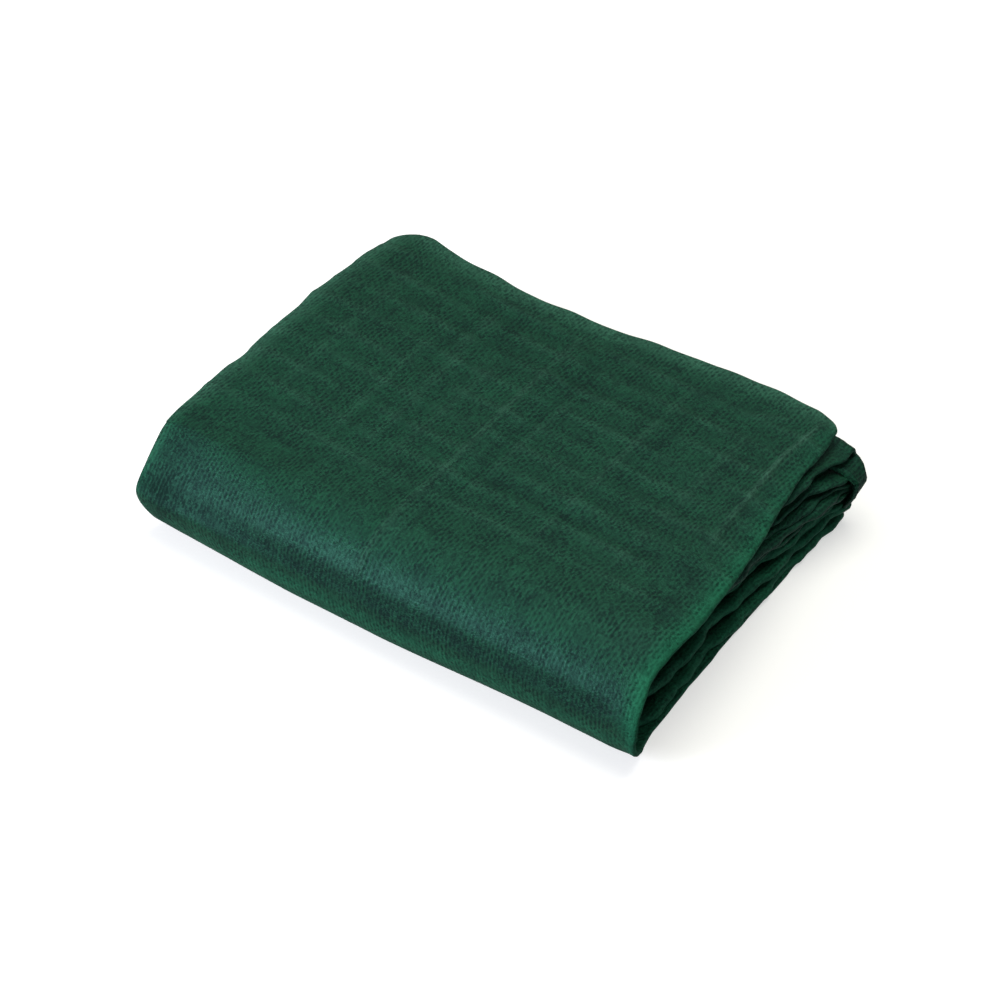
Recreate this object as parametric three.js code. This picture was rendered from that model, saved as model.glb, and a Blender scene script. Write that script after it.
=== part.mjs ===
// Folded olive harvesting net, a knitted sheet lying on its folds.
// Millimetres, +X along the long side to the open end, +Y from the round front fold to the back, +Z up.
// The sheet is pleated back and forth, and the pleats are folded in half round the front fold.
// Each pleat is a strip that runs over the top, round the front fold and back under the stack.
import * as THREE from 'three';

// Sheet and stack
const SHEET_THICKNESS = 3;
const STRIP_COUNT = 7;

// Round front fold: how far it reaches back from its foremost line, and how square its lower half is,
// as a power of 1 for an ellipse and less for a fuller corner
const FOLD_FRONT = -154;
const FOLD_REACH = { left: 42, middle: 52, right: 58 };
const LOWER_FULLNESS = { left: 0.5, middle: 0.42, right: 0.6 };

// Slack wedge that the fold turns into at the left end: share of its reach that slopes, the power that bows
// the slope, the power that rounds off the rest, and the places along X where it is full and where it ends
const WEDGE_UPPER = { slope: 0.82, bow: 1.15, round: 13 };
const WEDGE_LOWER = { slope: 0.42, bow: 1.3, round: 18 };
const WEDGE_FULL = -205;
const WEDGE_END = -70;

// Body of the stack along X, inside of which every strip has the same stations
const BODY_LEFT = -188;
const BODY_RIGHT = 146;
const BODY_STATIONS = [BODY_LEFT, -142, -97, -58, -34, -20, -6, 34, 75, 112, BODY_RIGHT];
const LEFT_EDGE_SHARES = [1];
const RIGHT_EDGE_SHARES = [0.3, 0.56, 0.8, 1];

// Segments along a strip: the outer strip shows, so it is finer, and one more row lies near the back corner
const OUTER_SEGMENTS = { top: 9, fold: 12, bottom: 4 };
const INNER_SEGMENTS = { top: 6, fold: 7, bottom: 4 };
const BACK_BEND_SEGMENTS = 4;
const CORNER_PLACE = 0.15;

// Height of the top at three places along X, a row for each place from the front to the back
const STACK_HEIGHT = [
  { y: -100, left: 80, middle: 84, right: 86 },
  { y: -40, left: 82, middle: 84, right: 85 },
  { y: 40, left: 84, middle: 83, right: 83 },
  { y: 160, left: 82, middle: 79, right: 80 },
];

// Old fold lines across the top, each a soft ridge that fades out past its two ends
const CREASE_FADE = 20;
const CREASES = [
  { x: -97, height: 1.0, width: 10, front: -110, back: 20 },
  { x: -20, height: 1.8, width: 9, front: -150, back: 110 },
  { x: 75, height: 1.0, width: 12, front: -20, back: 90 },
  { x: 160, height: 1.6, width: 8, front: -30, back: 140 },
];

// Outer band of the top sheet, past the last crease, which sags at the open end
const BAND_START = 164;
const BAND_END = 205;
const BAND_SAG = 3;

// Ends of each strip along X at the open end, from the top back edge round to the bottom back edge
const RIGHT_ENDS = [
  { topBack: 170, topMid: 194, topFront: 210, fold: 210, lowFront: 195, lowMid: 184, lowBack: 176 },
  { topBack: 185, topMid: 176, topFront: 170, fold: 172, lowFront: 190, lowMid: 183, lowBack: 179 },
  { topBack: 170, topMid: 172, topFront: 167, fold: 168, lowFront: 184, lowMid: 182, lowBack: 180 },
  { topBack: 165, topMid: 168, topFront: 170, fold: 166, lowFront: 180, lowMid: 177, lowBack: 183 },
  { topBack: 168, topMid: 170, topFront: 166, fold: 164, lowFront: 176, lowMid: 178, lowBack: 179 },
  { topBack: 167, topMid: 180, topFront: 172, fold: 166, lowFront: 172, lowMid: 175, lowBack: 175 },
  { topBack: 166, topMid: 174, topFront: 168, fold: 165, lowFront: 170, lowMid: 177, lowBack: 174 },
];

// Back corner of the second and third strips, which curls down over the open end: where it turns, its bend,
// how much longer each strip is there, and the places along the strips between which it fades out
const CURL_STRIPS = [1, 2];
const CURL_START = 170;
const CURL_RADIUS = 18;
const CURL_LENGTHS = [0, 30, 36, 0, 0, 0, 0];
const CURL_FULL = 0.13;
const CURL_END = 0.3;

// Ends of each strip along X at the other end, where the stack lies more even
const LEFT_ENDS = [
  { topBack: -216, topMid: -216, topFront: -212, fold: -211, lowFront: -207, lowMid: -209, lowBack: -206 },
  { topBack: -208, topMid: -212, topFront: -203, fold: -204, lowFront: -207, lowMid: -211, lowBack: -209 },
  { topBack: -212, topMid: -215, topFront: -206, fold: -206, lowFront: -203, lowMid: -207, lowBack: -207 },
  { topBack: -207, topMid: -210, topFront: -204, fold: -203, lowFront: -206, lowMid: -212, lowBack: -210 },
  { topBack: -210, topMid: -214, topFront: -207, fold: -206, lowFront: -204, lowMid: -208, lowBack: -206 },
  { topBack: -206, topMid: -209, topFront: -203, fold: -204, lowFront: -207, lowMid: -213, lowBack: -208 },
  { topBack: -209, topMid: -213, topFront: -206, fold: -207, lowFront: -205, lowMid: -209, lowBack: -211 },
];

// Wavy back edge of the top sheet
const TOP_BACK_EDGE = [
  { x: -216, y: 145 },
  { x: -198, y: 155 },
  { x: -148, y: 150 },
  { x: -89, y: 147 },
  { x: -29, y: 150 },
  { x: 38, y: 156 },
  { x: 103, y: 161 },
  { x: 146, y: 160 },
  { x: 170, y: 153 },
];

// Back bends between a strip and the next, the first one at the bottom, then top and bottom in turn
const BACK_BENDS = [
  { left: 143, middle: 147, right: 147 },
  { left: 141, middle: 139, right: 147 },
  { left: 146, middle: 142, right: 150 },
  { left: 138, middle: 143, right: 147 },
  { left: 142, middle: 138, right: 152 },
  { left: 144, middle: 140, right: 144 },
];
const LAST_EDGE = { left: 136, middle: 140, right: 141 };

// Gaps between layers from the top down: plain share of the height, shares that open at the open end
// near the front fold and near the back, and a wave of the open end with its length along Y and its shift
const GAPS = [
  { plain: 1.0, front: 8.5, back: 5.0, wave: 0.4, length: 190, shift: 0.2 },
  { plain: 1.0, front: 0.0, back: 2.0, wave: 0.7, length: 160, shift: 0.6 },
  { plain: 1.0, front: 0.6, back: 0.0, wave: 0.6, length: 138, shift: 0.1 },
  { plain: 1.0, front: 0.0, back: 0.5, wave: 0.8, length: 174, shift: 0.4 },
  { plain: 1.0, front: 0.4, back: 0.0, wave: 0.5, length: 145, shift: 0.8 },
  { plain: 1.0, front: 0.0, back: 0.0, wave: 0.4, length: 152, shift: 0.3 },
  { plain: 0.8, front: 0.0, back: 0.0, wave: 0.1, length: 180, shift: 0.7 },
  { plain: 1.0, front: 0.3, back: 0.0, wave: 0.5, length: 136, shift: 0.9 },
  { plain: 1.0, front: 0.0, back: 0.3, wave: 0.7, length: 162, shift: 0.5 },
  { plain: 1.0, front: 0.4, back: 0.0, wave: 0.6, length: 144, shift: 0.0 },
  { plain: 1.0, front: 0.0, back: 0.0, wave: 0.5, length: 174, shift: 0.3 },
  { plain: 1.0, front: 0.0, back: 0.2, wave: 0.4, length: 150, shift: 0.6 },
  { plain: 1.0, front: 0.0, back: 0.0, wave: 0.2, length: 190, shift: 0.2 },
];
const OPEN_END_START = 20;
const OPEN_END_FULL = 190;
const OPEN_FRONT_FULL = -70;
const OPEN_FRONT_START = 90;

const END_COLUMNS = ['topBack', 'topMid', 'topFront', 'fold', 'lowFront', 'lowMid', 'lowBack'];

// Smooth step from 0 at low to 1 at high
function ramp(low, high, value) {
  return THREE.MathUtils.smoothstep(value, low, high);
}

// Value of a table's column at a place, eased between rows that are sorted by the key
function readTable(rows, key, column, place) {
  const last = rows.length - 1;
  if (place <= rows[0][key]) {
    return rows[0][column];
  }
  for (let row = 0; row < last; row += 1) {
    const low = rows[row];
    const high = rows[row + 1];
    if (place <= high[key]) {
      const share = (place - low[key]) / (high[key] - low[key]);
      return THREE.MathUtils.lerp(low[column], high[column], ramp(0, 1, share));
    }
  }
  return rows[last][column];
}

// Value of a row with left, middle and right columns at a place along X
function readAcross(row, x) {
  const share = THREE.MathUtils.clamp((x - BODY_LEFT) / (BODY_RIGHT - BODY_LEFT), 0, 1);
  if (share < 0.5) {
    return THREE.MathUtils.lerp(row.left, row.middle, ramp(0, 0.5, share));
  }
  return THREE.MathUtils.lerp(row.middle, row.right, ramp(0.5, 1, share));
}

// Value of an end row at a place round the strip, 0 at the top back edge and 6 at the bottom back edge
function readRound(row, place) {
  const index = Math.min(Math.floor(place), END_COLUMNS.length - 2);
  const share = ramp(0, 1, place - index);
  return THREE.MathUtils.lerp(row[END_COLUMNS[index]], row[END_COLUMNS[index + 1]], share);
}

// Height of the top of the stack with its creases
function stackHeight(x, y) {
  const rows = STACK_HEIGHT.map((row) => ({ y: row.y, height: readAcross(row, x) }));
  let height = readTable(rows, 'y', 'height', y);
  for (const crease of CREASES) {
    const across = Math.exp(-(((x - crease.x) / crease.width) ** 2));
    const frontFade = ramp(crease.front - CREASE_FADE, crease.front, y);
    const backFade = 1 - ramp(crease.back, crease.back + CREASE_FADE, y);
    height += crease.height * across * frontFade * backFade;
  }
  return height - BAND_SAG * ramp(BAND_START, BAND_END, x);
}

// Heights of the middle of every layer at a place, from the top layer down to the one on the floor
function layerHeights(x, y) {
  const openEnd = ramp(OPEN_END_START, OPEN_END_FULL, x);
  const openFront = 1 - ramp(OPEN_FRONT_FULL, OPEN_FRONT_START, y);
  const shares = GAPS.map((gap) => {
    const wave = gap.wave * (1 + Math.sin(2 * Math.PI * (y / gap.length + gap.shift)));
    return gap.plain + openEnd * (gap.front * openFront + gap.back * (1 - openFront) + wave);
  });
  const total = shares.reduce((sum, share) => sum + share, 0);
  const top = stackHeight(x, y);
  const room = top - SHEET_THICKNESS * (GAPS.length + 1);
  const heights = [top - SHEET_THICKNESS / 2];
  for (const share of shares) {
    heights.push(heights[heights.length - 1] - SHEET_THICKNESS - (room * share) / total);
  }
  return heights;
}

// Point of a strip: place is 0 to 2 on the top, 2 to 4 round the fold and 4 to 6 on the bottom
function stripPoint(strip, place, station, backTop, backBottom) {
  const x = stationX(strip, place, station);
  const low = 2 * STRIP_COUNT - 1 - strip;
  const reach = readAcross(FOLD_REACH, x);
  const centre = FOLD_FRONT + reach;
  if (place <= 2) {
    const y = THREE.MathUtils.lerp(backTop(x), centre, place / 2);
    return curlDown(new THREE.Vector3(x, y, layerHeights(x, y)[strip]), strip, place);
  }
  if (place >= 4) {
    const y = THREE.MathUtils.lerp(centre, backBottom(x), (place - 4) / 2);
    return new THREE.Vector3(x, y, layerHeights(x, y)[low]);
  }
  const heights = layerHeights(x, centre);
  const outerHalf = (heights[0] - heights[heights.length - 1]) / 2;
  const half = (heights[strip] - heights[low]) / 2;
  const angle = ((place - 2) / 2) * Math.PI;
  const forward = foldForward(strip, angle, x);
  const y = centre - (reach - SHEET_THICKNESS / 2) * (half / outerHalf) * forward;
  return new THREE.Vector3(x, y, (heights[strip] + heights[low]) / 2 + half * Math.cos(angle));
}

// Share of its reach that the fold stands out at an angle from its top, 0, round to its bottom, half a turn
function foldForward(strip, angle, x) {
  const below = angle > Math.PI / 2;
  const fullness = THREE.MathUtils.lerp(readAcross(LOWER_FULLNESS, x), 1, strip / (STRIP_COUNT - 1));
  const rounded = Math.sin(angle) ** (below ? fullness : 1);
  const rise = Math.abs(Math.cos(angle));
  const { slope, bow, round } = below ? WEDGE_LOWER : WEDGE_UPPER;
  const wedge = 1 - slope * rise ** bow - (1 - slope) * rise ** round;
  return THREE.MathUtils.lerp(wedge, rounded, ramp(WEDGE_FULL, WEDGE_END, x));
}

// Share of the curl at a place along a strip
function curlShare(place) {
  return 1 - ramp(CURL_FULL, CURL_END, place);
}

// Point of a strip that turns down past the curl's start, round one centre for both, then straight down
function curlDown(point, strip, place) {
  const past = point.x - CURL_START;
  if (past <= 0 || !CURL_STRIPS.includes(strip)) {
    return point;
  }
  const heights = layerHeights(CURL_START, point.y);
  const radius = CURL_RADIUS - (heights[CURL_STRIPS[0]] - heights[strip]);
  const turn = Math.min(past / radius, Math.PI / 2);
  const drop = radius * (1 - Math.cos(turn)) + past - radius * turn;
  const curled = new THREE.Vector3(CURL_START + radius * Math.sin(turn), point.y, point.z - drop);
  return point.lerp(curled, curlShare(place));
}

// End of a strip at the open end, with the length that curls
function rightEnd(strip, place) {
  return readRound(RIGHT_ENDS[strip], place) + CURL_LENGTHS[strip] * curlShare(place);
}

// Place along X of a station on a strip: fixed in the body, and spread to the strip's own ends outside it
function stationX(strip, place, station) {
  if (station.side === 'left') {
    return THREE.MathUtils.lerp(BODY_LEFT, readRound(LEFT_ENDS[strip], place), station.share);
  }
  if (station.side === 'right') {
    return THREE.MathUtils.lerp(BODY_RIGHT, rightEnd(strip, place), station.share);
  }
  return station.x;
}

const STATIONS = [
  ...LEFT_EDGE_SHARES.map((share) => ({ side: 'left', share })),
  ...BODY_STATIONS.map((x) => ({ side: 'body', x })),
  ...RIGHT_EDGE_SHARES.map((share) => ({ side: 'right', share })),
];

// Back limit along Y of a strip's top or bottom run
function backOf(strip, atTop) {
  if (strip === 0 && atTop) {
    return (x) => readTable(TOP_BACK_EDGE, 'x', 'y', x);
  }
  const evenStrip = strip % 2 === 0;
  const bend = evenStrip === atTop ? BACK_BENDS[strip - 1] : BACK_BENDS[strip];
  return (x) => readAcross(bend ?? LAST_EDGE, x);
}

// Middle line of the sheet at one station, through every strip and back bend in turn
function middleLine(station) {
  const points = [];
  for (let strip = 0; strip < STRIP_COUNT; strip += 1) {
    const segments = strip === 0 ? OUTER_SEGMENTS : INNER_SEGMENTS;
    const places = [0, CORNER_PLACE];
    for (let step = 1; step < segments.top; step += 1) {
      places.push((2 * step) / segments.top);
    }
    for (let step = 0; step < segments.fold; step += 1) {
      places.push(2 + (2 * step) / segments.fold);
    }
    for (let step = 0; step <= segments.bottom; step += 1) {
      places.push(4 + (2 * step) / segments.bottom);
    }
    if (strip % 2 === 1) {
      places.reverse();
    }
    const backTop = backOf(strip, true);
    const backBottom = backOf(strip, false);
    const run = places.map((place) => stripPoint(strip, place, station, backTop, backBottom));
    if (strip > 0) {
      points.push(...backBend(points[points.length - 1], run[0]));
    }
    points.push(...run);
  }
  return points;
}

// Half round bend at the back between the end of one strip and the start of the next
function backBend(start, end) {
  const points = [];
  const radius = start.distanceTo(end) / 2;
  for (let step = 1; step < BACK_BEND_SEGMENTS; step += 1) {
    const angle = (step / BACK_BEND_SEGMENTS) * Math.PI;
    const point = start.clone().lerp(end, (1 - Math.cos(angle)) / 2);
    point.y += radius * Math.sin(angle);
    points.push(point);
  }
  return points;
}

// Square direction to the sheet at a point of its grid of columns and rows
function sheetNormal(grid, column, row) {
  const before = grid[column][Math.max(row - 1, 0)];
  const after = grid[column][Math.min(row + 1, grid[column].length - 1)];
  const left = grid[Math.max(column - 1, 0)][row];
  const right = grid[Math.min(column + 1, grid.length - 1)][row];
  const along = new THREE.Vector3().subVectors(after, before);
  const across = new THREE.Vector3().subVectors(right, left);
  return across.cross(along).normalize().negate();
}

// Closed skin of the sheet: outer face, inner face and the four edges
function sheetGeometry() {
  const grid = STATIONS.map(middleLine);
  const rowCount = grid[0].length;
  const positions = [];
  const triangles = [];
  for (let column = 0; column < grid.length; column += 1) {
    for (const side of [SHEET_THICKNESS / 2, -SHEET_THICKNESS / 2]) {
      for (let row = 0; row < rowCount; row += 1) {
        const point = grid[column][row].clone().addScaledVector(sheetNormal(grid, column, row), side);
        positions.push(point.x, point.y, point.z);
      }
    }
  }
  const upper = (column, row) => column * 2 * rowCount + row;
  const lower = (column, row) => column * 2 * rowCount + rowCount + row;
  const quad = (a, b, c, d) => triangles.push(a, b, c, a, c, d);
  const lastColumn = grid.length - 1;
  const lastRow = rowCount - 1;
  for (let row = 0; row < lastRow; row += 1) {
    const next = row + 1;
    for (let column = 0; column < lastColumn; column += 1) {
      quad(upper(column, row), upper(column, next), upper(column + 1, next), upper(column + 1, row));
      quad(lower(column, row), lower(column + 1, row), lower(column + 1, next), lower(column, next));
    }
    quad(upper(0, row), lower(0, row), lower(0, next), upper(0, next));
    quad(upper(lastColumn, row), upper(lastColumn, next), lower(lastColumn, next), lower(lastColumn, row));
  }
  for (let column = 0; column < lastColumn; column += 1) {
    const next = column + 1;
    quad(upper(column, 0), upper(next, 0), lower(next, 0), lower(column, 0));
    quad(upper(column, lastRow), lower(column, lastRow), lower(next, lastRow), upper(next, lastRow));
  }
  const geometry = new THREE.BufferGeometry();
  geometry.setAttribute('position', new THREE.Float32BufferAttribute(positions, 3));
  geometry.setIndex(triangles);
  geometry.computeBoundingBox();
  const centre = geometry.boundingBox.getCenter(new THREE.Vector3());
  geometry.translate(-centre.x, -centre.y, -geometry.boundingBox.min.z);
  geometry.computeVertexNormals();
  return geometry;
}

const netMaterial = new THREE.MeshStandardMaterial({ color: 0x1f4534, roughness: 0.85, metalness: 0 });
const net = new THREE.Mesh(sheetGeometry(), netMaterial);
net.name = 'net';

const group = new THREE.Group();
group.name = 'folded_net';
group.add(net);

export default group;
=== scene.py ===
import math

import bpy
import numpy as np
from mathutils import Matrix, Vector


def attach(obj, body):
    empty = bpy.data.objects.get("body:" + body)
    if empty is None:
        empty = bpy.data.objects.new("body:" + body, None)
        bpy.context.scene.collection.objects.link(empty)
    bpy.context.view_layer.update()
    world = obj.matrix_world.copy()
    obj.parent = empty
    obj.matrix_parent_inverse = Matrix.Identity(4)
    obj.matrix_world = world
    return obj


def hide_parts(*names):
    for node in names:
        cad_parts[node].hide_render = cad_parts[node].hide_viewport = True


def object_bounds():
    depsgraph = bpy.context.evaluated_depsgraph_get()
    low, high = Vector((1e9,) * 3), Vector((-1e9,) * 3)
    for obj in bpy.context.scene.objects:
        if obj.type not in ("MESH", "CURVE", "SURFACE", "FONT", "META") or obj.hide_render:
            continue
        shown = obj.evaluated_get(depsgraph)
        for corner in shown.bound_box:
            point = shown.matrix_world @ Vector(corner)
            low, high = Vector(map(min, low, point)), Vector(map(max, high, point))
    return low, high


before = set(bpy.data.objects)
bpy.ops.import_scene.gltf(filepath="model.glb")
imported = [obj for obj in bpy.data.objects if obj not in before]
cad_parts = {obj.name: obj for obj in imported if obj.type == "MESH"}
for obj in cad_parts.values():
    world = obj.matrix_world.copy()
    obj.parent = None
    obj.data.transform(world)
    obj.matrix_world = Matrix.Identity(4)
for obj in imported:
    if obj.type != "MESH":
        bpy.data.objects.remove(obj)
solid_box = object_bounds()

# Outer strip of the net: a long strip of dark green polyethylene knit, doubled along its length, that lies
# over the top of the packet, turns round the front in one big soft fold and runs back underneath.
# It is held by its own folds alone. Its free edges are at the right end and its doubled edge at the left.

# Sizes are in millimetres. Strips are counted from the outside in. A place runs along a strip: 0 to 2 from
# its back edge over the top, 2 to 4 round the front fold and 4 to 6 back underneath.
MM_PER_METRE = 1000
STRIP_COUNT = 7
LAYER_COUNT = 2 * STRIP_COUNT
DOUBLED_THICKNESS = 3.0

# Ends of the packet's even middle part, then the solid's right end and front
BODY_LEFT = -188.0
BODY_RIGHT = 146.0
SOLID_RIGHT = 210.0
SOLID_FRONT = -154.0

# Front fold at the left, middle and right: its front, how far it reaches back, and how full it is below
FOLD_FRONT = (-156.5, -155, -152.5)
FOLD_REACH = (42, 52, 58)
LOWER_FULLNESS = (0.5, 0.42, 0.6)

# Wedge of the fold at the left end: slope, bow and tip of its upper and lower side, its fade along X, and
# how round its front is
WEDGE_UPPER = (0.94, 1.1, 13)
WEDGE_LOWER = (0.5, 1.3, 18)
WEDGE_FADE = (-205, -70)
WEDGE_ROUND = 0.12

# Free right edge of the outer strip: where it thins along X and ends by place, its hem bead and its droop
FLAP_THINS = (140, 195)
FLAP_FADE = (3.2, 4.2)
FLAP_HALF = 1.0
HEM_BEAD = 0.8
BEAD_INSET = 2
BEAD_WIDTH = 3
FLAP_DROOP = 3.0
DROOP_LENGTH = 14
DROOP_FADE = (2.4, 3.4)

# Lift of the fold's tip at the right end: height, range along X, and the places where it rises and falls
TIP_LIFT = 4.0
TIP_RANGE = (180, 212)
TIP_RISE = (2.6, 3.4)
TIP_FALL = (4, 4.8)

# Left edge: droop, its length and its fade by place, and the rounding of the doubled edge
LEFT_DROOP = 3.5
LEFT_LENGTH = 26
LEFT_DROOP_FADE = (3, 3.8)
LEFT_ROUND = 2.5
# Radius of the top sheet's back corners at the left and right
TOP_CORNERS = (13, 6)

# Height of the top of the packet: place along Y, then at the left, middle and right
STACK_HEIGHT = [
    (-100, (80, 84, 86)),
    (-40, (82, 84, 85)),
    (40, (84, 83, 83)),
    (160, (82, 79, 80)),
]

# Ridges right through the packet: place along X, height, width, front and back limits
PACKET_RIDGES = [
    (-97, 1.0, 10, -110, 20),
    (-20, 1.8, 9, -150, 110),
    (75, 1.0, 12, -20, 90),
    (160, 1.6, 8, -30, 140),
]
RIDGE_FADE = 20
# Sag of the hem band at the right, and its range along X
BAND_SAG = 3
BAND_RANGE = (164, 205)

# Right and left edge of the outer strip: place, then X
OUTER_RIGHT = [
    (0, 169), (0.3, 174), (0.45, 175.5), (0.7, 180.5), (1, 187.5), (1.2, 193), (1.45, 198),
    (1.9, 203), (2.4, 203.5), (3.1, 208), (3.6, 201), (4, 191), (5, 181), (6, 176),
]
OUTER_LEFT = [
    (0, -216), (0.45, -220.5), (0.8, -220), (1.1, -218.3), (1.4, -217.2), (1.7, -217.2), (1.85, -216.9),
    (1.93, -215.8), (2, -214.4), (2.07, -214), (2.3, -214.2), (2.6, -213.8), (3, -213), (3.25, -213),
    (3.5, -210.5), (4, -203), (5, -205), (6, -206),
]
# Right and left ends of the six inner strips, one row a strip, at these places
END_PLACES = range(7)
RIGHT_ENDS = [
    (182, 174, 170, 172, 185, 181, 179),
    (170, 172, 167, 168, 181, 180, 180),
    (188, 168, 170, 166, 178, 177, 183),
    (189, 170, 166, 164, 176, 178, 196),
    (188, 178, 172, 166, 172, 175, 185),
    (187, 174, 168, 165, 170, 177, 195),
]
LEFT_ENDS = [
    (-208, -212, -203, -203, -199, -205, -209),
    (-212, -215, -206, -204, -196, -202, -207),
    (-207, -210, -204, -202, -198, -206, -210),
    (-210, -214, -207, -203, -197, -203, -206),
    (-206, -209, -203, -202, -199, -206, -208),
    (-209, -213, -206, -203, -197, -204, -211),
]

# Back corner of the third strip, curled down over the open end: where it turns along X, its bend, its lean
# inwards, how much longer the strip is there, and the places between which the curl fades out
CURL_STRIP = 2
CURL_START = 183.0
CURL_RADIUS = 10.0
CURL_LEAN = 0.42
CURL_LENGTH = 58
CURL_FADE = (0.06, 0.17)

# Back edge of the top sheet: X, then Y. Then the Y of each back bend at the left, middle and right
TOP_BACK = [
    (-216, 155), (-198, 158), (-148, 151), (-89, 147), (-29, 150),
    (38, 157), (103, 161), (146, 159), (170, 153),
]
BACK_BENDS = [
    (143, 147, 147),
    (141, 139, 152),
    (146, 142, 150),
    (138, 143, 147),
    (142, 138, 152),
    (144, 140, 144),
    (136, 140, 141),
]
# Most that a back bend stands out behind its strips
BEND_LIMIT = 6.0

# Gaps between layers from the top down: plain share, share that opens at the right near the front,
# share that opens there near the back, and a wave of the open end with its length and shift
GAPS = [
    (1.0, 11.0, 6.5, 0.4, 190, 0.2),
    (1.0, 0.0, 2.0, 1.5, 104, 0.6),
    (1.0, 0.6, 0.0, 1.2, 83, 0.1),
    (1.0, 0.0, 0.5, 1.7, 117, 0.4),
    (1.0, 0.4, 0.0, 1.1, 71, 0.8),
    (1.0, 0.0, 0.0, 1.4, 95, 0.3),
    (0.8, 0.0, 0.0, 0.3, 180, 0.7),
    (1.0, 0.3, 0.0, 1.2, 78, 0.9),
    (1.0, 0.0, 0.3, 1.6, 109, 0.5),
    (1.0, 0.4, 0.0, 1.2, 88, 0.0),
    (1.0, 0.0, 0.0, 1.4, 121, 0.3),
    (1.0, 0.0, 0.2, 0.9, 74, 0.6),
    (1.0, 0.0, 0.0, 0.3, 190, 0.2),
]
OPEN_END = (20, 190)
OPEN_FRONT = (-70, 90)

# Waves of the strips' right ends: height, length by place and shift, then the shift from strip to strip
EDGE_WAVES = [(1.7, 0.86, 0.1), (1.2, 0.39, 0.6), (0.6, 0.17, 0.3)]
EDGE_SHIFT = 0.37
FLAP_WAVE = 0.25
# Waves of the top sheet's left edge by place, and where they fade out, and of its back edge along X
LEFT_WAVES = [(0.7, 0.43, 0.1), (0.35, 0.24, 0.6)]
LEFT_WAVE_FADE = (1.5, 2.0)
BACK_WAVES = [(0.5, 61, 0.2), (0.3, 34, 0.9)]
# Waves of the back bends along X: height, length and shift from bend to bend
BEND_WAVES = [(1.3, 150, 0.37), (0.8, 67, 0.61)]

# Right ends, strip by strip: how far set back underneath, and how far the lip swells underneath and on top
LIPS = [(0, 0.2, 0), (0, 2.6, 0.3), (15, 0.2, 0), (0, 2.8, 0), (14, 0.2, 0), (2, 2.6, 2.2), (12, 0.3, 0)]
# Places where a lip goes over from its top to its underside, its depth from the edge, its least rounding,
# and its lumps: height, length by place and shift from strip to strip
LIP_TURN = (3, 4.2)
LIP_DEPTH = (5, 16)
LIP_ROUND = 1.0
LUMP_HEIGHT = 0.25
LUMP_LENGTH = 0.41
LUMP_SHIFT = 0.29


def ease(low, high, value):
    share = np.clip((value - low) / (high - low), 0, 1)
    return share * share * (3 - 2 * share)


def eased_rows(places, values, place):
    result = values[0] + 0.0 * place
    for low, high, start, end in zip(places, places[1:], values, values[1:]):
        result = result + (end - start) * ease(low, high, place)
    return result


def curve_rows(rows, place):
    """A smooth curve through the rows of a table."""
    places, values = np.array(rows, float).T
    slopes = np.gradient(values, places)
    row = np.clip(np.searchsorted(places, place, side="right") - 1, 0, len(places) - 2)
    width = places[row + 1] - places[row]
    way = np.clip((place - places[row]) / width, 0, 1)
    rise = way * way * (3 - 2 * way)
    bend = way * (1 - way) ** 2 * slopes[row] - way * way * (1 - way) * slopes[row + 1]
    return values[row] + (values[row + 1] - values[row]) * rise + width * bend


def wave_sum(rows, way):
    return sum(height * np.sin(2 * np.pi * (way / length + shift)) for height, length, shift in rows)


def across(row, x):
    return eased_rows((BODY_LEFT, (BODY_LEFT + BODY_RIGHT) / 2, BODY_RIGHT), row, x)


def packet_top(x, y):
    places = [row[0] for row in STACK_HEIGHT]
    height = eased_rows(places, [across(row[1], x) for row in STACK_HEIGHT], y)
    for place, ridge, width, front, back in PACKET_RIDGES:
        along = ease(front - RIDGE_FADE, front, y) * (1 - ease(back, back + RIDGE_FADE, y))
        height = height + ridge * np.exp(-(((x - place) / width) ** 2)) * along
    return height - BAND_SAG * ease(*BAND_RANGE, x)


def layer_heights(x, y):
    """Heights of the middles of all the layers, from the top one down."""
    open_end = ease(*OPEN_END, x)
    open_front = 1 - ease(*OPEN_FRONT, y)
    shares = []
    for plain, front, back, wave, length, shift in GAPS:
        ripple = wave * (1 + np.sin(2 * np.pi * (y / length + shift)))
        shares.append(plain + open_end * (front * open_front + back * (1 - open_front) + ripple))
    shares = np.array(shares)
    top = packet_top(x, y)
    room = top - DOUBLED_THICKNESS * LAYER_COUNT
    drops = np.cumsum(DOUBLED_THICKNESS + room * shares / shares.sum(axis=0), axis=0)
    first = top - DOUBLED_THICKNESS / 2
    return np.concatenate([first[None], first[None] - drops])


def back_limit(strip, at_top, x):
    if strip == 0 and at_top:
        places, values = zip(*TOP_BACK)
        return eased_rows(places, values, x) + wave_sum(BACK_WAVES, x)
    bend = strip - 1 if (strip % 2 == 0) == at_top else strip
    waves = [(height, length, shift * bend) for height, length, shift in BEND_WAVES]
    return across(BACK_BENDS[bend], x) + wave_sum(waves, x)


def wedge_side(side, rise):
    slope, bow, tip = side
    return 1 - slope * rise ** bow - (1 - slope) * rise ** tip


def fold_forward(strip, angle, x):
    """How far the front fold stands out: an ellipse, full below, that turns to a wedge at the left end."""
    fullness = across(LOWER_FULLNESS, x)
    fullness = fullness + (1 - fullness) * strip / (STRIP_COUNT - 1)
    sine = np.clip(np.sin(angle), 0, 1)
    rounded = np.where(angle > np.pi / 2, sine ** fullness, sine)
    round_rise = np.sqrt(np.cos(angle) ** 2 + WEDGE_ROUND ** 2) - WEDGE_ROUND
    rise = round_rise / (math.sqrt(1 + WEDGE_ROUND ** 2) - WEDGE_ROUND)
    wedge = np.where(angle > np.pi / 2, wedge_side(WEDGE_LOWER, rise), wedge_side(WEDGE_UPPER, rise))
    return rounded + (1 - ease(*WEDGE_FADE, x)) * (wedge - rounded)


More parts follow.
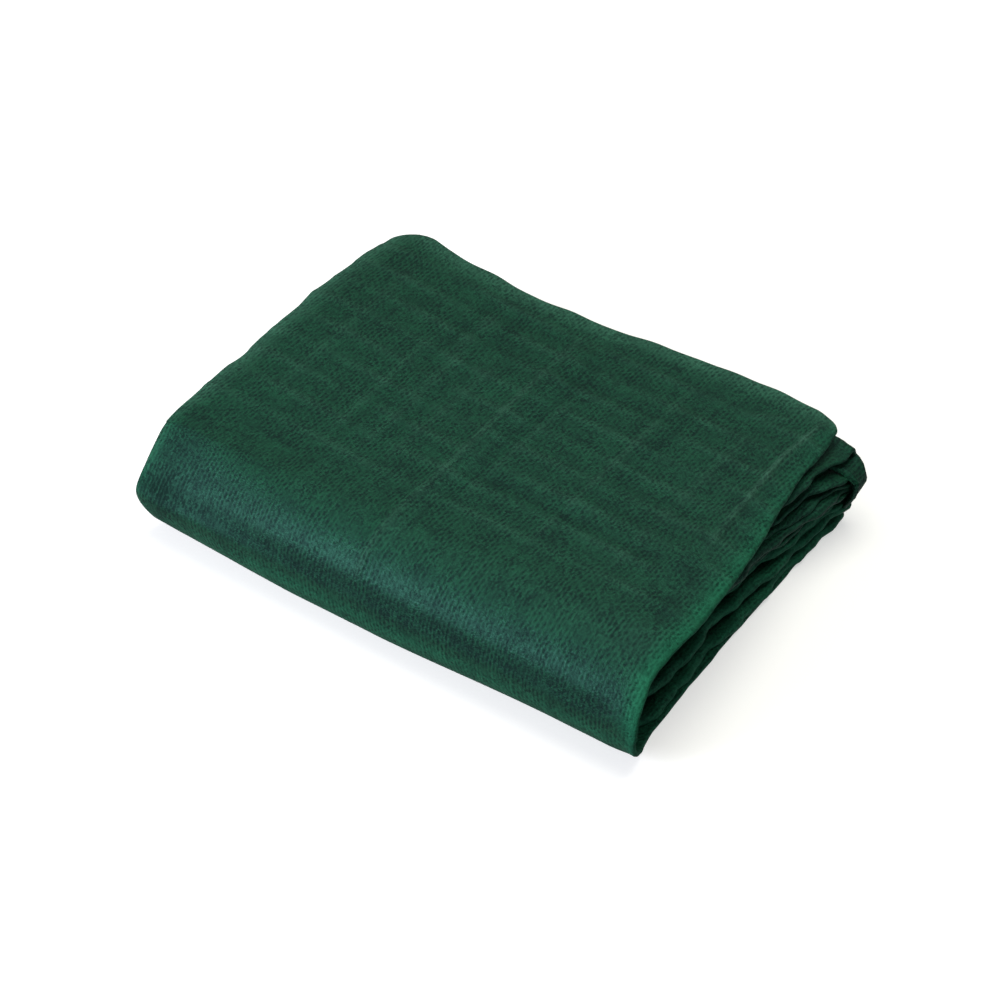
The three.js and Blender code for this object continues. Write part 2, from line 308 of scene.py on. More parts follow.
def corner_inset(place, radius):
    """How far the rounded back corners of the top sheet stand in from its ends."""
    back_way = (TOP_BACK[0][1] - FOLD_FRONT[1] - FOLD_REACH[1]) / 2
    short = radius - np.clip(place * back_way, 0, radius)
    return radius - np.sqrt(radius ** 2 - short ** 2)


def left_end(strip, place):
    if strip:
        return eased_rows(END_PLACES, LEFT_ENDS[strip - 1], place)
    edge = curve_rows(OUTER_LEFT, place) + corner_inset(place, TOP_CORNERS[0])
    return edge + wave_sum(LEFT_WAVES, place) * (1 - ease(*LEFT_WAVE_FADE, place))


def right_end(strip, place):
    waves = [(height, length, shift + EDGE_SHIFT * strip) for height, length, shift in EDGE_WAVES]
    wave = wave_sum(waves, place)
    if strip == 0:
        return curve_rows(OUTER_RIGHT, place) - corner_inset(place, TOP_CORNERS[1]) + FLAP_WAVE * wave
    end = eased_rows(END_PLACES, RIGHT_ENDS[strip - 1], place) + wave
    end = end - LIPS[strip][0] * ease(*LIP_TURN, place)
    if strip == CURL_STRIP:
        end = end + CURL_LENGTH * (1 - ease(*CURL_FADE, place))
    return end


def strip_points(strip, place, x):
    """Middle of the doubled strip at a place along it and an X."""
    reach = across(FOLD_REACH, x)
    centre = across(FOLD_FRONT, x) + reach
    top_back = back_limit(strip, True, x)
    top_run = top_back + (centre - top_back) * np.clip(place / 2, 0, 1)
    low_run = centre + (back_limit(strip, False, x) - centre) * np.clip((place - 4) / 2, 0, 1)
    run = np.where(place < 3, top_run, low_run)
    heights = layer_heights(x, run)
    upper = heights[strip]
    lower = heights[LAYER_COUNT - 1 - strip]
    half = (upper - lower) / 2
    angle = np.clip((place - 2) / 2, 0, 1) * np.pi
    forward = fold_forward(strip, angle, x)
    y = run - (reach - DOUBLED_THICKNESS / 2) * 2 * half / (heights[0] - heights[-1]) * forward
    z = (upper + lower) / 2 + half * np.cos(angle)
    if strip == 0:
        near_right = np.clip(1 - (right_end(0, place) - x) / DROOP_LENGTH, 0, 1)
        hang = FLAP_DROOP * near_right ** 2 * ease(*FLAP_THINS, x) * (1 - ease(*DROOP_FADE, place))
        near_left = np.clip(1 - (x - left_end(0, place)) / LEFT_LENGTH, 0, 1)
        hang = hang + LEFT_DROOP * near_left ** 2 * (1 - ease(*LEFT_DROOP_FADE, place))
        z = z - hang * np.cos(angle)
        y = y + hang * np.sin(angle)
        z = z + TIP_LIFT * ease(*TIP_RANGE, x) * ease(*TIP_RISE, place) * (1 - ease(*TIP_FALL, place))
    if strip == CURL_STRIP:
        past = np.clip(x - CURL_START, 0, None)
        turn = np.clip(past / CURL_RADIUS, 0, np.pi / 2)
        share = 1 - ease(*CURL_FADE, place)
        hanging = past - CURL_RADIUS * turn
        z = z - share * (CURL_RADIUS * (1 - np.cos(turn)) + hanging)
        x = x + share * (CURL_RADIUS * np.sin(turn) - past - CURL_LEAN * hanging)
    return np.stack([x, y, z], axis=-1)


def station_x(strip, place, station):
    """X of a station: -1 is the left edge, 0 to 1 the even middle part and 2 the right edge."""
    body = BODY_LEFT + (BODY_RIGHT - BODY_LEFT) * np.clip(station, 0, 1)
    toward_left = (left_end(strip, place) - BODY_LEFT) * np.clip(-station, 0, 1)
    return body + toward_left + (right_end(strip, place) - BODY_RIGHT) * np.clip(station - 1, 0, 1)


def half_thickness(strip, place, x):
    """Half of the doubled strip's thickness: thin at the flap, swollen at the lips, round at its ends."""
    from_right = right_end(strip, place) - x
    from_left = x - left_end(strip, place)
    half = DOUBLED_THICKNESS / 2 + 0.0 * x
    if strip == 0:
        flap = ease(*FLAP_THINS, x) * (1 - ease(*FLAP_FADE, place))
        half = half - (half - FLAP_HALF) * flap
        half = half + flap * HEM_BEAD * np.exp(-(((from_right - BEAD_INSET) / BEAD_WIDTH) ** 2))
    lump_way = place / LUMP_LENGTH + LUMP_SHIFT * strip
    lumps = 1 - LUMP_HEIGHT + LUMP_HEIGHT * np.sin(2 * np.pi * lump_way)
    below, on_top = LIPS[strip][1:]
    swell = on_top + (below - on_top) * ease(*LIP_TURN, place)
    half = half + swell * lumps * (1 - ease(*LIP_DEPTH, from_right))
    right_round = np.clip(from_right / np.maximum(half, LIP_ROUND), 0, 1)
    left_round = np.clip(from_left / LEFT_ROUND, 0, 1)
    return half * np.sqrt(1 - (1 - right_round) ** 2) * np.sqrt(1 - (1 - left_round) ** 2)


# Rows stand closer together towards the back edge of the top, by this power
BACK_CROWDING = 1.3
# Stations over the left edge, close together where it rounds off
LEFT_STATIONS = (-1, -0.97, -0.92, -0.82, -0.62, -0.32)


def run_places(steps, strip):
    top, fold, bottom = steps
    places = np.concatenate([
        2 * np.linspace(0, 1, top, endpoint=False) ** BACK_CROWDING,
        np.linspace(2, 4, fold, endpoint=False),
        np.linspace(4, 6, bottom + 1),
    ])
    return places[::-1] if strip % 2 else places


def all_stations(body_count, open_count, open_end, edge):
    body = np.linspace(0, 1, body_count)[:-1]
    return np.concatenate([LEFT_STATIONS, body, np.linspace(1, open_end, open_count), edge])


def back_bend(start, end, steps):
    angle = (np.arange(1, steps) / steps * np.pi)[:, None, None]
    points = start + (end - start) * (1 - np.cos(angle)) / 2
    depth = np.minimum(np.linalg.norm(end - start, axis=-1) / 2, BEND_LIMIT)
    points[..., 1] += depth * np.sin(angle[..., 0])
    return points


def folded_strips(strips, steps, bend_steps, stations):
    """Middle of the doubled strip on its way through the folds, its half thickness and each row's place."""
    rows, halves, places = [], [], []
    for strip in strips:
        place = run_places(steps, strip)
        grid_place = np.repeat(place[:, None], len(stations), axis=1)
        x = station_x(strip, grid_place, stations[None, :])
        run = strip_points(strip, grid_place, x)
        half = half_thickness(strip, grid_place, x)
        if rows:
            bend = back_bend(rows[-1][-1], run[0], bend_steps)
            share = (np.arange(1, bend_steps) / bend_steps)[:, None]
            halves.append(halves[-1][-1] + (half[0] - halves[-1][-1]) * share)
            rows.append(bend)
            places.append(np.full(len(bend), place[0]))
        rows.append(run)
        halves.append(half)
        places.append(place)
    return np.concatenate(rows), np.concatenate(halves), np.concatenate(places)


def grid_normals(points):
    along = np.gradient(points, axis=0)
    over = np.gradient(points, axis=1)
    normal = -np.cross(over, along)
    return normal / np.linalg.norm(normal, axis=-1, keepdims=True)


def way_along(points, axis):
    steps = np.linalg.norm(np.diff(points, axis=axis), axis=-1)
    start = np.zeros_like(np.take(steps, [0], axis=axis))
    return np.concatenate([start, np.cumsum(steps, axis=axis)], axis=axis)


# The way along a strip is the mean over every sixth column
WAY_STRIDE = 6


def closed_strip(name, middle, half, lift, extra):
    """Closed mesh of the doubled strip: outer ply, round left edge, inner ply and round right edge."""
    normal = grid_normals(middle)
    upper = middle + normal * (half + lift * (half > 0))[..., None]
    lower = middle - normal * half[..., None]
    ring = np.concatenate([upper[:, ::-1], lower[:, 1:]], axis=1)
    rows, columns = ring.shape[0], ring.shape[1] - 1
    index = np.arange(rows * columns).reshape(rows, columns)
    index = np.concatenate([index, index[:, :1]], axis=1)
    corner = np.arange(rows * (columns + 1)).reshape(rows, columns + 1)
    count = middle.shape[1]

    def skin(table):
        sides = np.stack([table[:-1, :-1], table[:-1, 1:], table[1:, 1:], table[1:, :-1]], axis=-1)
        caps = []
        for row, way in ((0, 1), (-1, -1)):
            front = table[row, :count]
            rear = np.concatenate([table[row, :1], table[row, count:][::-1]])[:count]
            rear[-1] = front[-1]
            cap = np.stack([front[:-1], rear[:-1], rear[1:], front[1:]], axis=-1)
            caps.append(cap[:, ::way])
        return np.concatenate([sides.reshape(-1, 4)] + caps)

    polygons, loops = [], []
    for face, loop in zip(skin(index).tolist(), skin(corner).tolist()):
        keep = [k for k in range(4) if face[k] not in face[:k]]
        if len(keep) > 2:
            polygons.append([face[k] for k in keep])
            loops.extend(loop[k] for k in keep)
    shift_x = solid_box[1].x * MM_PER_METRE - SOLID_RIGHT
    shift_y = solid_box[0].y * MM_PER_METRE - SOLID_FRONT
    points = ring[:, :-1].reshape(-1, 3) + np.array((shift_x, shift_y, 0.0))
    mesh = bpy.data.meshes.new(name)
    mesh.from_pydata(points / MM_PER_METRE, [], polygons)
    across_way = way_along(ring, 1)
    across_way = across_way - across_way[:, count // 2:count // 2 + 1]
    mean_way = way_along(ring[:, ::WAY_STRIDE], 0).mean(axis=1, keepdims=True)
    along_way = np.repeat(mean_way, columns + 1, axis=1)
    flat = np.stack([across_way, along_way], axis=-1).reshape(-1, 2) / MM_PER_METRE
    knit_map = mesh.uv_layers.new(name="Knit")
    knit_map.data.foreach_set("uv", flat[loops].astype(np.float32).reshape(-1))
    for label, values in extra.items():
        layer = mesh.attributes.new(label, "FLOAT", "POINT")
        both = np.concatenate([values[:, ::-1], values[:, 1:-1]], axis=1)
        layer.data.foreach_set("value", both.astype(np.float32).reshape(-1))
    mesh.validate()
    mesh.shade_smooth()
    cloth = bpy.data.objects.new(name, mesh)
    bpy.context.scene.collection.objects.link(cloth)
    return cloth


class Tone:
    """A value of the finish over the surface, from one socket of the material's nodes."""

    def __init__(self, tree, socket=None):
        self.tree = tree
        self.socket = socket

    def node(self, kind, settings, inputs, output=0):
        made = self.tree.nodes.new(kind)
        for label, value in settings.items():
            setattr(made, label, value)
        for label, value in inputs.items():
            if isinstance(value, Tone):
                self.tree.links.new(value.socket, made.inputs[label])
            else:
                made.inputs[label].default_value = value
        return Tone(self.tree, made.outputs[output] if made.outputs else None)

    def output(self, label):
        return Tone(self.tree, self.socket.node.outputs[label])

    def math(self, operation, *values):
        return self.node("ShaderNodeMath", {"operation": operation}, dict(enumerate(values)))

    def __add__(self, other):
        return self.math("ADD", self, other)

    __radd__ = __add__

    def __sub__(self, other):
        return self.math("SUBTRACT", self, other)

    def __rsub__(self, other):
        return self.math("SUBTRACT", other, self)

    def __mul__(self, other):
        return self.math("MULTIPLY", self, other)

    __rmul__ = __mul__

    def wave(self):
        return self.math("COSINE", self * (2 * math.pi))

    def floor(self):
        return self.math("FLOOR", self)

    def blend(self, first, second):
        return self.node(
            "ShaderNodeMix", {"data_type": "RGBA"}, {"Factor": self, 6: first, 7: second}, 2
        )


# Spacing of the knit's columns and courses, and how far and over what length they drift from straight
KNIT_COLUMN = 3.2
KNIT_COURSE = 2.75
DRIFT_WIDTH = 4.0
DRIFT_LENGTH = 30
# Colours of the yarn and of the gaps between: plain; lighter and greener as painted light, standing in for
# light coming through the thin net and from the floor; and paler on creases, which at the left and back
# edges is painted light too
YARN_COLOUR = (0.0055, 0.0455, 0.0208, 1)
GAP_COLOUR = (0.0010, 0.0070, 0.0036, 1)
PAINTED_LIGHT_YARN = (0.012, 0.114, 0.056, 1)
PAINTED_LIGHT_GAP = (0.002, 0.021, 0.010, 1)
PALE_YARN = (0.050, 0.122, 0.085, 1)
PALE_GAP = (0.014, 0.040, 0.026, 1)
# Streaks of the knit: share, length along the packet and along the strip, lean and seed
LOOP_STREAKS = [(1.0, 1.5, 1.4, 0.0, 5.3)]
PATCH_STREAKS = [
    (0.7, 70, 8, 0.0, 3.7),
    (0.6, 40, 5.0, 0.2, 9.4),
    (0.8, 7, 70, 0.0, 8.1),
    (0.9, 26, 20, 0.0, 1.3),
]
COLUMN_STREAKS = [(2.0, 30, 26, 0.0, 6.1), (3.0, 9, 12, 0.0, 4.4)]
GRAIN_STREAKS = [(1.6, 16, 13, 0.0, 2.9)]
# Shares of the knit's parts in the yarn that shows, and how far the painted light calms them
STITCH_SHARE = 0.5
PILLAR_SHARE = 0.16
LATTICE_SHARE = 0.15
LOOP_SHARE = 1.10
PATCH_SHARE = 0.42
YARN_MIDDLE = 0.5
PAINTED_LIGHT_CALM = 0.4
# Relief and sheen
BUMP_STRENGTH = 0.34
BUMP_DISTANCE = 0.001
PATCH_BUMP = 0.3
ROUGHNESS = 0.66
YARN_GLOSS = 0.16
PAINTED_LIGHT_ROUGH = 0.25
CREASE_ROUGH = 0.3
SPECULAR = 0.27
SPECULAR_TINT = (0.38, 0.95, 0.95, 1)

green_knit = bpy.data.materials.new("green_knit")
green_knit.use_nodes = True
green_knit.node_tree.nodes.clear()
tone = Tone(green_knit.node_tree)
flat_map = tone.node("ShaderNodeUVMap", {"uv_map": "Knit"}, {})
flat_mm = tone.node("ShaderNodeVectorMath", {"operation": "SCALE"}, {0: flat_map, "Scale": MM_PER_METRE})
flat_x = tone.node("ShaderNodeSeparateXYZ", {}, {0: flat_mm})
flat_y = flat_x.output(1)


def streaks(length_x, length_y, lean, seed):
    """Soft uneven streaks, from -0.5 to 0.5, of a length along the packet and along the strip."""
    place_x = flat_x * (1 / length_x) + seed
    place_y = (flat_y + flat_x * lean) * (1 / length_y) + 2 * seed
    place = tone.node("ShaderNodeCombineXYZ", {}, {0: place_x, 1: place_y})
    noise = tone.node(
        "ShaderNodeTexNoise", {"noise_dimensions": "2D"}, {"Vector": place, "Scale": 1.0, "Detail": 1.0}
    )
    return noise - 0.5


def streak_sum(rows):
    return sum(share * streaks(*shape) for share, *shape in rows)


drift = tone.node(
    "ShaderNodeTexNoise",
    {"noise_dimensions": "2D"},
    {"Vector": flat_mm, "Scale": 1 / DRIFT_LENGTH, "Detail": 1.0},
    1,
)
drifted = tone.node(
    "ShaderNodeVectorMath",
    {"operation": "MULTIPLY_ADD"},
    {0: drift, 1: (DRIFT_WIDTH, DRIFT_WIDTH, 0), 2: flat_mm},
)
column_mm = tone.node("ShaderNodeSeparateXYZ", {}, {0: drifted})
column = column_mm * (1 / KNIT_COLUMN)
course = column_mm.output(1) * (1 / KNIT_COURSE)
pillar = -1.0 * column.wave()
lattice = -1.0 * (column * 0.5).wave() * (course * 0.5).wave()
stitch_place = tone.node("ShaderNodeCombineXYZ", {}, {0: (column * 2.0).floor(), 1: course.floor()})
stitch = tone.node("ShaderNodeTexWhiteNoise", {"noise_dimensions": "2D"}, {"Vector": stitch_place})
loops = streak_sum(LOOP_STREAKS) + STITCH_SHARE * (stitch - 0.5)
patches = streak_sum(PATCH_STREAKS)
strength = 1.0 + streak_sum(COLUMN_STREAKS)
grain = 1.0 + streak_sum(GRAIN_STREAKS)
# Tone from the creases: positive values make the knit paler along fold marks and creases, and at the left
# and back edges they are painted light; negative values are painted shade in troughs, along the front of the
# fold and at its left end
creases_and_painted_light = tone.node("ShaderNodeAttribute", {"attribute_name": "crease_tone_and_painted_light"}, {}, 2)
painted_shade = tone.math("MINIMUM", creases_and_painted_light, 0.0)
# Share of painted light: lighter, greener knit at thin edges, lips and the fold's lower rim, standing in for
# light coming through the net and from the floor
painted_light = tone.node("ShaderNodeAttribute", {"attribute_name": "painted_light"}, {}, 2)

yarn = (PILLAR_SHARE * pillar + LATTICE_SHARE * lattice) * strength + LOOP_SHARE * grain * loops
yarn_share = YARN_MIDDLE + yarn * (1.0 - PAINTED_LIGHT_CALM * painted_light) + PATCH_SHARE * patches + painted_shade
gap_colour = creases_and_painted_light.blend(painted_light.blend(GAP_COLOUR, PAINTED_LIGHT_GAP), PALE_GAP)
yarn_colour = creases_and_painted_light.blend(painted_light.blend(YARN_COLOUR, PAINTED_LIGHT_YARN), PALE_YARN)
knit_colour = yarn_share.blend(gap_colour, yarn_colour)
bump = tone.node(
    "ShaderNodeBump",
    {},
    {"Strength": BUMP_STRENGTH, "Distance": BUMP_DISTANCE, "Height": yarn + PATCH_BUMP * patches},
)
rough = ROUGHNESS - YARN_GLOSS * yarn_share + PAINTED_LIGHT_ROUGH * painted_light
rough = rough + CREASE_ROUGH * tone.math("ABSOLUTE", creases_and_painted_light)
surface = tone.node(
    "ShaderNodeBsdfPrincipled",
    {},
    {
        "Base Color": knit_colour,
        "Roughness": rough,
        "Specular IOR Level": SPECULAR,
        "Specular Tint": SPECULAR_TINT,
        "Normal": bump,
    },
)
tone.node("ShaderNodeOutputMaterial", {}, {"Surface": surface})

# Marks of the small folds the net was packed in, along the packet: spacing, the first one, their number,
# half width, height and paleness, their unevenness along X, its length and its shift from mark to mark, and
# how far they bow towards the back at the left end and where that fades out
MARK_SPACING = 25.0
FIRST_MARK = -74.5
MARK_COUNT = 9
MARK_WIDTH = 3.4
MARK_HEIGHT = 0.4
MARK_PALE = 0.10
MARK_UNEVEN = 0.5
MARK_LENGTH = 130
MARK_SHIFT = 0.37
MARK_BOW = 6.0
BOW_FADE = (-180, -60)

# Other creases of the outer strip: X and Y of both ends on the strip laid flat from the top, height, half
# width and paleness. A negative paleness is painted shade in a trough. The last five are the hem line.
OUTER_CREASES = [
    (-31, 125, -29, 75, 0.5, 2.4, 0.16),
    (-28, 72, -25, 8, 0.6, 2.4, 0.20),
    (-24, 6, -20.5, -60, 0.6, 2.4, 0.20),
    (-20.5, -60, -19, -160, 0.6, 2.6, 0.16),
    (65, 120, 67, 70, 0.5, 2.4, 0.10),
    (67, 70, 69, 0, 0.6, 2.4, 0.17),
    (69, 0, 69, -70, 0.5, 2.4, 0.12),
    (125, 100, 127, -60, 0.4, 4, 0.10),
    (5, 60, 5, -60, 0.4, 2.6, 0.10),
    (-60, 60, -60, -60, 0.4, 3, 0.08),
    (-96, 120, -93, 62, 0.4, 5, 0.12),
    (-88, 60, -86, 5, 0.4, 4, 0.09),
    (-83, 0, -83, -60, 0.4, 3, 0.09),
    (-116, 60, -111, -60, 0.4, 3, 0.08),
    (-175, 120, -171, -40, 0.4, 5, 0.07),
    (-77, 120, -75, -60, -0.4, 4, -0.10),
    (-106, 120, -102, -50, -0.4, 3, -0.09),
    (-5, 110, -4, -75, -0.4, 5, -0.10),
    (80, 110, 84, 0, -0.3, 4, -0.08),
    (0, -38.5, 150, -39, -0.7, 5, -0.16),
    (70, -13, 150, -13, -0.4, 4, -0.12),
    (70, 12, 150, 12, -0.3, 4, -0.08),
    (-110, 86, 70, 86, -0.4, 4, -0.10),
    (-110, 115, -40, 115, -0.4, 5, -0.10),
    (-92, 76, -62, 76, -0.3, 9, -0.10),
    (168, -22, 178, -90, -0.3, 13, -0.16),
    (112, 126, 138, 139, 0.6, 3, 0.14),
    (158.5, 142, 157, 104, 1.0, 2.0, 0.42),
    (156.4, 104, 158.2, 80, 1.2, 1.9, 0.50),
    (159.2, 80, 161, 52, 1.1, 2.1, 0.42),
    (162, 52, 163.5, 22, 0.9, 2.4, 0.30),
    (164.5, 22, 167, -8, 0.8, 2.8, 0.18),
]
CREASE_ENDS = 12


def crease_sum(x, along):
    """Height and paleness of all the fold marks and creases; a negative paleness is painted shade."""
    total = 0.0 * x
    pale = 0.0 * x
    bow = MARK_BOW * (1 - ease(*BOW_FADE, x))
    for mark in range(MARK_COUNT):
        aside = along - FIRST_MARK - MARK_SPACING * mark - bow
        uneven = 1 + MARK_UNEVEN * np.sin(2 * np.pi * (x / MARK_LENGTH + MARK_SHIFT * mark))
        line = np.exp(-((aside / MARK_WIDTH) ** 2)) * uneven
        total = total + MARK_HEIGHT * line
        pale = pale + MARK_PALE * line
    for x_start, y_start, x_end, y_end, height, width, paleness in OUTER_CREASES:
        length = math.hypot(x_end - x_start, y_end - y_start)
        way_x, way_y = (x_end - x_start) / length, (y_end - y_start) / length
        forward = (x - x_start) * way_x + (along - y_start) * way_y
        aside = (x - x_start) * way_y - (along - y_start) * way_x
        begun = ease(-CREASE_ENDS, CREASE_ENDS, forward)
        ended = ease(length - CREASE_ENDS, length + CREASE_ENDS, forward)
        line = np.exp(-((aside / width) ** 2)) * begun * (1 - ended)
        total = total + height * line
        pale = pale + paleness * line
    return total, pale


# Slack trough along the front of the fold, with painted shade in it: its places at the left, middle and
# right, half width, depth and the darkness of the painted shade, and where it fades out along X
NOSE_PLACES = (2.84, 2.88, 2.88)
NOSE_WIDTH = 0.11
NOSE_DEPTH = 1.4
NOSE_PAINTED_SHADE = 0.24
NOSE_FADE = (170, 195)
# Painted light on the fold's lower rim, standing in for light from the floor, and painted shade at the left
# end of the fold, with its ranges by X and place
RIM_PAINTED_LIGHT = 0.7
RIM_PLACES = (3.0, 3.2)
LEFT_PAINTED_SHADE = 0.34
LEFT_PAINTED_SHADE_FADE = (-208, -160)
LEFT_PAINTED_SHADE_PLACES = (1.7, 2.1)
# Painted light at the thin edges, standing in for light coming through the net: widths at the right, left
# and back, the right edge's least share and how much it gains towards the front, and the share and paleness
# of the left and back edges
RIGHT_PAINTED_LIGHT_WIDTH = 10
LEFT_PAINTED_LIGHT_WIDTH = 10
BACK_PAINTED_LIGHT_WIDTH = 11
RIGHT_PAINTED_LIGHT = 0.45
RIGHT_PAINTED_LIGHT_GAIN = 1.0
RIGHT_PAINTED_LIGHT_PLACES = (0.4, 1.8)
EDGE_PAINTED_LIGHT = 0.45
EDGE_PAINTED_PALE = 0.5

OUTER_STEPS = (100, 52, 24)
outer_stations = all_stations(181, 30, 1.92, (1.95, 1.97, 1.985, 1.995, 2))
outer_middle, outer_half, outer_places = folded_strips([0], OUTER_STEPS, 1, outer_stations)
outer_x = outer_middle[..., 0]
way = way_along(outer_middle, 0)
fold_start = int(np.searchsorted(outer_places, 2.0))
along = outer_middle[fold_start:fold_start + 1, :, 1] + way[fold_start:fold_start + 1] - way
crease_lift, paleness_and_painted_light = crease_sum(outer_x, along)
nose_way = (outer_places[:, None] - across(NOSE_PLACES, outer_x)) / NOSE_WIDTH
nose = np.exp(-(nose_way ** 2)) * (1 - ease(*NOSE_FADE, outer_x))
crease_lift = crease_lift - NOSE_DEPTH * nose
# Painted shade: the knit darker along the front trough and at the left end of the fold, where less light
# falls
left_shade_mask = (1 - ease(*LEFT_PAINTED_SHADE_FADE, outer_x)) * ease(*LEFT_PAINTED_SHADE_PLACES, outer_places)[:, None]
paleness_and_painted_light = paleness_and_painted_light - NOSE_PAINTED_SHADE * nose - LEFT_PAINTED_SHADE * left_shade_mask
# Painted light at the flap's edges and the fold's lower rim, standing in for light coming through the thin
# net and from the floor
on_flap = 1 - ease(*FLAP_FADE, outer_places)[:, None]
from_right = right_end(0, outer_places)[:, None] - outer_x
from_left = outer_x - left_end(0, outer_places)[:, None]
right_share = RIGHT_PAINTED_LIGHT + RIGHT_PAINTED_LIGHT_GAIN * ease(*RIGHT_PAINTED_LIGHT_PLACES, outer_places)
right_painted_light = right_share[:, None] * np.exp(-((from_right / RIGHT_PAINTED_LIGHT_WIDTH) ** 2))
left_painted_light = np.exp(-((from_left / LEFT_PAINTED_LIGHT_WIDTH) ** 2))
edge_painted_light = np.maximum(left_painted_light, np.exp(-((way / BACK_PAINTED_LIGHT_WIDTH) ** 2)))
rim = RIM_PAINTED_LIGHT * ease(*RIM_PLACES, outer_places)[:, None]
painted_light_share = np.maximum(rim, on_flap * np.maximum(right_painted_light, EDGE_PAINTED_LIGHT * edge_painted_light))
paleness_and_painted_light = paleness_and_painted_light + EDGE_PAINTED_PALE * on_flap * edge_painted_light
outer_strip = closed_strip(
    "net_outer_strip", outer_middle, outer_half, crease_lift, {"crease_tone_and_painted_light": paleness_and_painted_light, "painted_light": painted_light_share}
)
outer_strip.data.materials.append(green_knit)
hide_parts("net")
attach(outer_strip, "root")

# Pleated strips of the same net inside the outer one: six more runs of the doubled knit, folded back and
# forth at the back and round each other at the front, with soft swollen lips at the right.
PLEAT_STEPS = (64, 20, 48)
BEND_STEPS = 8
# Painted light on the lips at the right, standing in for light coming through their thin edges: range of
# stations, share on top, and what it gains at the places of the fold
LIP_STATIONS = (1.6, 2.0)
LIP_PAINTED_LIGHT = 0.2
LIP_PAINTED_LIGHT_GAIN = 0.75
LIP_PAINTED_LIGHT_PLACES = (2.5, 3.5)

pleat_stations = all_stations(16, 12, 1.88, (1.92, 1.95, 1.975, 1.99, 2))
all_strips = folded_strips(range(STRIP_COUNT), PLEAT_STEPS, BEND_STEPS, pleat_stations)
outer_rows = sum(PLEAT_STEPS)
pleat_middle, pleat_half, pleat_places = [rows[outer_rows:] for rows in all_strips]
still = np.zeros(pleat_half.shape)
# Painted light on the lips' thin edges, stronger round the fold
lip_share = LIP_PAINTED_LIGHT + LIP_PAINTED_LIGHT_GAIN * ease(*LIP_PAINTED_LIGHT_PLACES, pleat_places)
lips_painted_light = ease(*LIP_STATIONS, pleat_stations)[None, :] * lip_share[:, None]
pleats = closed_strip("net_pleats", pleat_middle, pleat_half, still, {"crease_tone_and_painted_light": still, "painted_light": lips_painted_light})
pleats.data.materials.append(green_knit)
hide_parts("net")
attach(pleats, "root")

# Plain pale studio floor: a wide matt sheet that stays white under the soft light.
FLOOR_HALF = 6
FLOOR_COLOUR = (0.55, 0.55, 0.55, 1)
FLOOR_ROUGHNESS = 0.9
FLOOR_GLOW = 0.54
floor_mesh = bpy.data.meshes.new("floor")
floor_mesh.from_pydata(
    [(FLOOR_HALF * x, FLOOR_HALF * y, 0) for x, y in ((-1, -1), (1, -1), (1, 1), (-1, 1))],
    [],
    [(0, 1, 2, 3)],
)
floor = bpy.data.objects.new("floor", floor_mesh)
bpy.context.scene.collection.objects.link(floor)
pale_floor = bpy.data.materials.new("pale_floor")
pale_floor.use_nodes = True
floor_shader = pale_floor.node_tree.nodes["Principled BSDF"]
floor_shader.inputs["Base Color"].default_value = FLOOR_COLOUR
floor_shader.inputs["Roughness"].default_value = FLOOR_ROUGHNESS
floor_shader.inputs["Specular IOR Level"].default_value = 0.0
floor_shader.inputs["Emission Color"].default_value = (1, 1, 1, 1)
floor_shader.inputs["Emission Strength"].default_value = FLOOR_GLOW
floor_mesh.materials.append(pale_floor)
floor.visible_diffuse = False
floor.visible_glossy = False

# Soft even surround of the studio, a little brighter below the horizon than above it.
HORIZON = 0.2
GLOW_BELOW = 0.42
GLOW_ABOVE = 0.28
world = bpy.data.worlds.new("studio")
world.use_nodes = True
world_tone = Tone(world.node_tree)
world_way = world_tone.node("ShaderNodeTexCoord", {}, {})
world_up = world_tone.node("ShaderNodeSeparateXYZ", {}, {0: world_way}, 2)
glow = world_tone.node(
    "ShaderNodeMapRange", {}, {0: world_up, 1: -HORIZON, 2: HORIZON, 3: GLOW_BELOW, 4: GLOW_ABOVE}
)
world_shader = world.node_tree.nodes["Background"]
world_shader.inputs["Color"].default_value = (1, 1, 1, 1)
world.node_tree.links.new(glow.socket, world_shader.inputs["Strength"])
bpy.context.scene.world = world

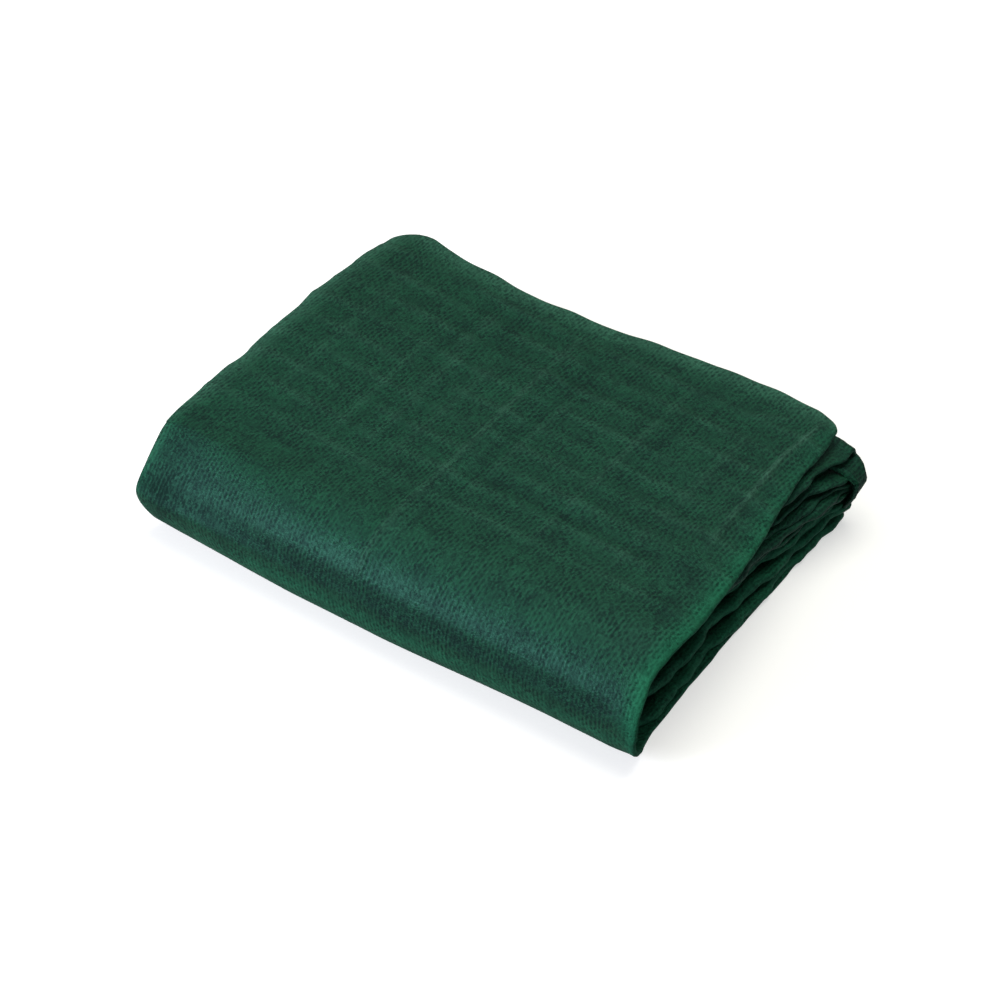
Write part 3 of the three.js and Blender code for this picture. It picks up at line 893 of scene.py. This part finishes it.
# Two broad soft lights: name, place, aim, width, height, power and colour
LIGHTS = [
    ("front_left_light", (-1.05, -1.85, 0.95), (0, 0, 0.05), 1.1, 1.3, 71, (0.88, 0.90, 1.0)),
    ("top_light", (0.1, 0.2, 2.1), (0, 0, 0), 1.6, 1.6, 36.5, (1.0, 1.0, 0.88)),
]
for label, place, aim, width, height, power, colour in LIGHTS:
    lamp = bpy.data.lights.new(label, "AREA")
    lamp.shape = "RECTANGLE"
    lamp.size = width
    lamp.size_y = height
    lamp.energy = power
    lamp.color = colour
    holder = bpy.data.objects.new(label, lamp)
    holder.location = place
    holder.rotation_euler = (Vector(aim) - Vector(place)).to_track_quat("-Z", "Y").to_euler()
    bpy.context.scene.collection.objects.link(holder)

# Camera at the photograph's place: above the right front corner, from well back. Its aim is measured in
# metres from the solid's right end and front, and its focal length is for a picture of a thousand pixels.
AZIMUTH = math.radians(36.27)
ELEVATION = math.radians(40.93)
CAMERA_DISTANCE = 2.4
CAMERA_RIGHT = -0.00776
CAMERA_UP = -0.00415
AIM_FROM_RIGHT = 0.2129
AIM_FROM_FRONT = 0.1566
AIM_HEIGHT = 0.035
SENSOR_WIDTH = 36
FOCAL_PIXELS = 3449
PICTURE_PIXELS = 1000
level = Vector((math.sin(AZIMUTH), -math.cos(AZIMUTH), 0))
toward = level * math.cos(ELEVATION) + Vector((0, 0, math.sin(ELEVATION)))
right = Vector((math.cos(AZIMUTH), math.sin(AZIMUTH), 0))
up = toward.cross(right)
lens = bpy.data.cameras.new("camera")
lens.sensor_width = SENSOR_WIDTH
lens.lens = SENSOR_WIDTH * FOCAL_PIXELS / PICTURE_PIXELS
camera = bpy.data.objects.new("camera", lens)
centre = Vector((solid_box[1].x - AIM_FROM_RIGHT, solid_box[0].y + AIM_FROM_FRONT, AIM_HEIGHT))
spot = centre + right * CAMERA_RIGHT + up * CAMERA_UP + toward * CAMERA_DISTANCE
camera.matrix_world = Matrix.Translation(spot) @ Matrix((right, up, toward)).transposed().to_4x4()
bpy.context.scene.collection.objects.link(camera)
bpy.context.scene.camera = camera
bpy.context.scene.view_settings.view_transform = "Standard"
